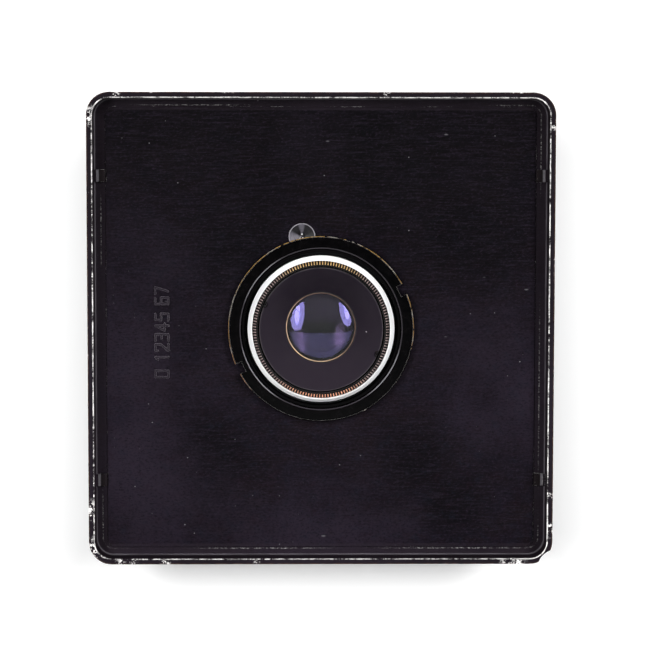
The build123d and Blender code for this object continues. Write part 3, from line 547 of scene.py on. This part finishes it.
def hood_look():
    """Satin black cone with a rubbed rim and one painted glint. Its slots are painted dead black as
    painted shade, with lighter edges. The paint is greyer toward -Y and on its ±X flanks as painted
    light, and darker toward +Y as painted shade."""
    k = Look("hood_black")
    marks = k.turning_marks()
    cloud = k.noise(6 * MM, 3, 0.6)
    soft, edge = k.rounded(0.12 * MM)
    # painted light and shade: greyer toward -Y and on the ±X flanks, darker toward +Y
    tone = k.mix(k.step(k.y, -15 * MM, 15 * MM), (0.0250, 0.0190, 0.0275), (0.0125, 0.0088, 0.0145))
    sides = k.step(k.absolute(k.x), 8 * MM, 17 * MM)
    tone = k.mix(k.times(sides, 0.5), tone, (0.0240, 0.0185, 0.0270))
    rim = k.times(k.band(k.radius(), HOOD_RIM, 0.10 * MM, 0.06 * MM),
                  k.step(cloud, 0.3, 0.6, 0.3, 1.0))
    slots = k.spots(*HOOD_SLOTS, low=0.7)
    tone = k.layers(
        tone,
        (k.step(cloud, 0.35, 0.7), k.mix(0.15, tone, (0.03, 0.025, 0.03))),
        (rim, (0.055, 0.048, 0.055)),
        # painted shade: dead black inside the slots, their edges painted lighter
        (k.times(slots, k.step(k.radius(), 17.9 * MM, 18.1 * MM)), (0.0015, 0.0012, 0.0016)),
        (k.times(edge, slots, 0.6), (0.10, 0.09, 0.10)),
        # painted highlight: one small glint on the cone
        (k.spots(HOOD_GLINT), (0.5, 0.48, 0.5)))
    return k.finish(Base_Color=tone, Roughness=k.blend(marks, 0.5, 0.62), Specular_IOR_Level=0.06,
                    Normal=k.bump(marks, 0.004 * MM, 0.5, soft))


def collar_look():
    """Bright satin collar, nearly white, with a trace of turning; its foot is painted near black as
    painted shade of the gap round it. Its shading normal leans toward +Z, so the taper shades more
    like a level face than its mesh does."""
    k = Look("collar_bright")
    marks = k.turning_marks(0.2 * MM)
    cloud = k.noise(9 * MM, 2, 0.5)
    soft, _ = k.rounded(0.12 * MM)
    # painted shade: the foot made near black for the dark gap
    foot = k.step(k.z, COLLAR_TAPER - 0.5 * MM, COLLAR_TAPER - 0.1 * MM, 1.0, 0.0)
    tone = k.layers(k.mix(k.step(cloud, 0.3, 0.7), (1.0, 1.0, 1.0), (0.95, 0.96, 0.98)),
                    (foot, (0.01, 0.01, 0.01)))
    leaning = k.vector_math("ADD", k.bump(marks, 0.003 * MM, 0.4, soft), (0.0, 0.0, 0.75))[0]
    return k.finish(Base_Color=tone, Roughness=k.blend(marks, 0.30, 0.42),
                    Normal=k.vector_math("NORMALIZE", leaning)[0])


def outer_tint(k, tint, node, side):
    """Tint of an outer element's coating, on its face toward +Z if side is 1, or -Z if -1. The
    tint is weaker in noisy patches over the -Y half, a painted mottle of the reflections, and
    darker along the rim and on an arc within that half, as painted shade in the reflections. The
    other face is nearly black."""
    low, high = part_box(node)
    beyond = k.times(k.math("SUBTRACT", k.z, (low.z + high.z) / 2), side)
    reflection_mottle_noise = k.noise(3.4 * MM, 3, 0.7, shift=(0.2, 0.6, 0))
    # painted reflection: the tint is mottled weaker over the -Y half
    painted_reflection_mottle = k.times(k.step(k.y, -1.0 * MM, 0.5 * MM, 1.0, 0.0), k.step(reflection_mottle_noise, 0.38, 0.62))
    # painted shade in the reflections: a darker arc and a darker rim
    arc = k.times(k.band(k.radius(), 7.4 * MM, 0.3 * MM, 0.5 * MM), k.step(k.y, -3.5 * MM, -5 * MM))
    margin = k.step(k.radius(), 9.9 * MM, 10.4 * MM, 0.0, 0.75)
    tint = k.layers(tint, (painted_reflection_mottle, tuple(0.66 * c for c in tint)),
                    (k.most(k.times(arc, 0.5), margin), (0.05, 0.03, 0.10)))
    return k.mix(k.step(beyond, -0.1 * MM, 0.1 * MM), (0.02, 0.01, 0.03), tint)


def glass_look(name, tint, level, outer=None, clear=1.0):
    """Polished optical glass with a little dust; outer is the (node, side) of an outer element."""
    k = Look(name)
    dust = k.specks(1.7 * MM, 0.06, 0.25)
    tone = k.mix(k.noise(14 * MM, 1, 0.4), CLEAR_GLASS, tuple(0.96 * c for c in CLEAR_GLASS))
    return k.finish(Base_Color=tone, Roughness=k.times(dust, 0.3), IOR=GLASS_IOR,
                    Transmission_Weight=clear, Specular_IOR_Level=level,
                    Specular_Tint=outer_tint(k, tint, *outer) if outer else tint)


def set_look(look, *names):
    for name in names:
        piece = nodes[name]
        piece.data.materials.clear()
        piece.data.materials.append(look)


def floor():
    """Pale floor. It glows a little away from the object, so it stays even."""
    k = Look("floor_pale")
    far = k.most(k.absolute(k.x), k.absolute(k.y))
    k.finish(Base_Color=k.mix(k.noise(3 * MM, 2), (0.90, 0.90, 0.90), (0.88, 0.88, 0.88)),
             Roughness=0.9, Emission_Color=(1, 1, 1),
             Emission_Strength=k.step(far, 55 * MM, 120 * MM, 0.0, FLOOR_GLOW))
    mesh = bpy.data.meshes.new("floor")
    build = bmesh.new()
    bmesh.ops.create_grid(build, x_segments=8, y_segments=8, size=FLOOR_HALF)
    build.to_mesh(mesh)
    build.free()
    piece = bpy.data.objects.new("floor", mesh)
    bpy.context.scene.collection.objects.link(piece)
    piece.location.z = cad_box[0][2] - 0.1 * MM
    mesh.materials.append(k.material)


def aim(thing, place, target, up=(0, 1, 0), roll=0.0):
    """Puts a light or a camera at place, looking at target."""
    back = (Vector(place) - Vector(target)).normalized()
    right = Vector(up).cross(back).normalized()
    turn = Matrix((right, back.cross(right), back)).transposed().to_4x4()
    thing.matrix_world = Matrix.Translation(place) @ turn @ Matrix.Rotation(roll, 4, "Z")


def soft_light(name, place, target, size, radiance, up=(0, 1, 0), shape="ELLIPSE"):
    """Flat soft light of that radiance."""
    width, height = size
    filled = math.pi / 4 if shape == "ELLIPSE" else 1.0
    data = bpy.data.lights.new(name, "AREA")
    data.shape = shape
    data.size, data.size_y = width, height
    data.energy = radiance * math.pi * width * height * filled
    light = bpy.data.objects.new(name, data)
    bpy.context.scene.collection.objects.link(light)
    aim(light, place, target, up)
    light.visible_camera = False
    return light


def lights():
    lens_rear = Vector((0, 0, BOARD_TOP))
    for side, direction in SOFTBOXES:
        away = Vector(direction)
        place = lens_rear + away
        soft_light("softbox_" + side, place, lens_rear, SOFTBOX_SIZE, SOFTBOX_RADIANCE)
        soft_light("lamp_" + side, place - 0.01 * away, lens_rear, LAMP_SIZE, LAMP_RADIANCE)
    table = soft_light("table_panel", (0.0, BOARD_LOW.y - 12 * MM, TABLE_HEIGHT),
                       (0.0, 1.0, TABLE_HEIGHT), TABLE_SIZE, TABLE_RADIANCE, up=(0, 0, 1),
                       shape="RECTANGLE")
    table.visible_diffuse = False


def camera():
    data = bpy.data.cameras.new("camera")
    data.sensor_width = SENSOR_WIDTH
    data.lens = FOCAL_LENGTH
    data.clip_start, data.clip_end = 0.01, 50.0
    piece = bpy.data.objects.new("camera", data)
    bpy.context.scene.collection.objects.link(piece)
    aim(piece, CAMERA_TARGET + CAMERA_OFFSET, CAMERA_TARGET, roll=CAMERA_ROLL)
    bpy.context.scene.camera = piece


def world():
    """White low down all round, dark overhead, as in a room with a pale table."""
    place = bpy.data.worlds.new("world")
    bpy.context.scene.world = place
    place.use_nodes = True
    tree = place.node_tree
    tree.nodes.clear()
    output = tree.nodes.new("ShaderNodeOutputWorld")
    back = tree.nodes.new("ShaderNodeBackground")
    where = tree.nodes.new("ShaderNodeTexCoord")
    split = tree.nodes.new("ShaderNodeSeparateXYZ")
    ramp = tree.nodes.new("ShaderNodeMapRange")
    ramp.interpolation_type = "SMOOTHSTEP"
    for index, value in enumerate(WORLD_RAMP, start=1):
        ramp.inputs[index].default_value = value
    tree.links.new(where.outputs["Generated"], split.inputs[0])
    tree.links.new(split.outputs[2], ramp.inputs[0])
    tree.links.new(ramp.outputs[0], back.inputs["Strength"])
    tree.links.new(back.outputs[0], output.inputs[0])


set_look(BoardLook().make(), "lens_board")
set_look(stud_look(), "index_stud")
set_look(ring_look(), "retaining_ring")
set_look(barrel_look("barrel_black", 0.45), "aperture_ring", "front_sleeve", "front_cell_mount")
set_look(barrel_look("barrel_inner", 0.04), "main_barrel")
set_look(collar_look(), "bright_collar")
set_look(cell_look(), "rear_cell_mount")
set_look(hood_look(), "rear_hood", "front_bezel_ring", "rear_spacer", "front_spacer")
set_look(glass_ring_look(), "rear_glass_ring", "front_glass_ring")
set_look(glass_look("coated_glass", COATING, 0.8, ("rear_outer_element", 1), clear=0.99),
         "rear_outer_element")
set_look(glass_look("coated_glass_front", COATING, 0.8, ("front_outer_element", -1), clear=0.99),
         "front_outer_element")
INNER_GLASS = ("rear_doublet_crown", "rear_doublet_flint", "front_doublet_crown",
               "front_doublet_flint")
set_look(glass_look("coated_glass_inner", INNER_COATING, 0.3), *INNER_GLASS)
set_look(turned_look("iris_metal", (0.02, 0.02, 0.021), (0.03, 0.03, 0.031), 0.5),
         "iris_base_plate", "iris_actuator_ring", "iris_lock_ring")
set_look(turned_look("blade_steel", (0.03, 0.032, 0.038), (0.045, 0.045, 0.05), 0.4),
         *[f"iris_blade_{i}" for i in range(1, 6)])
set_look(turned_look("figure_paint", (0.72, 0.71, 0.67), (0.80, 0.79, 0.75), 0.5),
         "aperture_numbers", "aperture_index")
set_look(turned_look("small_steel", (0.35, 0.35, 0.36), (0.42, 0.42, 0.43), 0.35, STEEL),
         "drive_screw", "sleeve_screws", "click_ball", "click_spring")
for name in ("rear_outer_element", "front_outer_element", *INNER_GLASS):
    nodes[name].visible_shadow = False

floor()
camera()
world()
lights()
bpy.context.scene.view_settings.view_transform = "Standard"
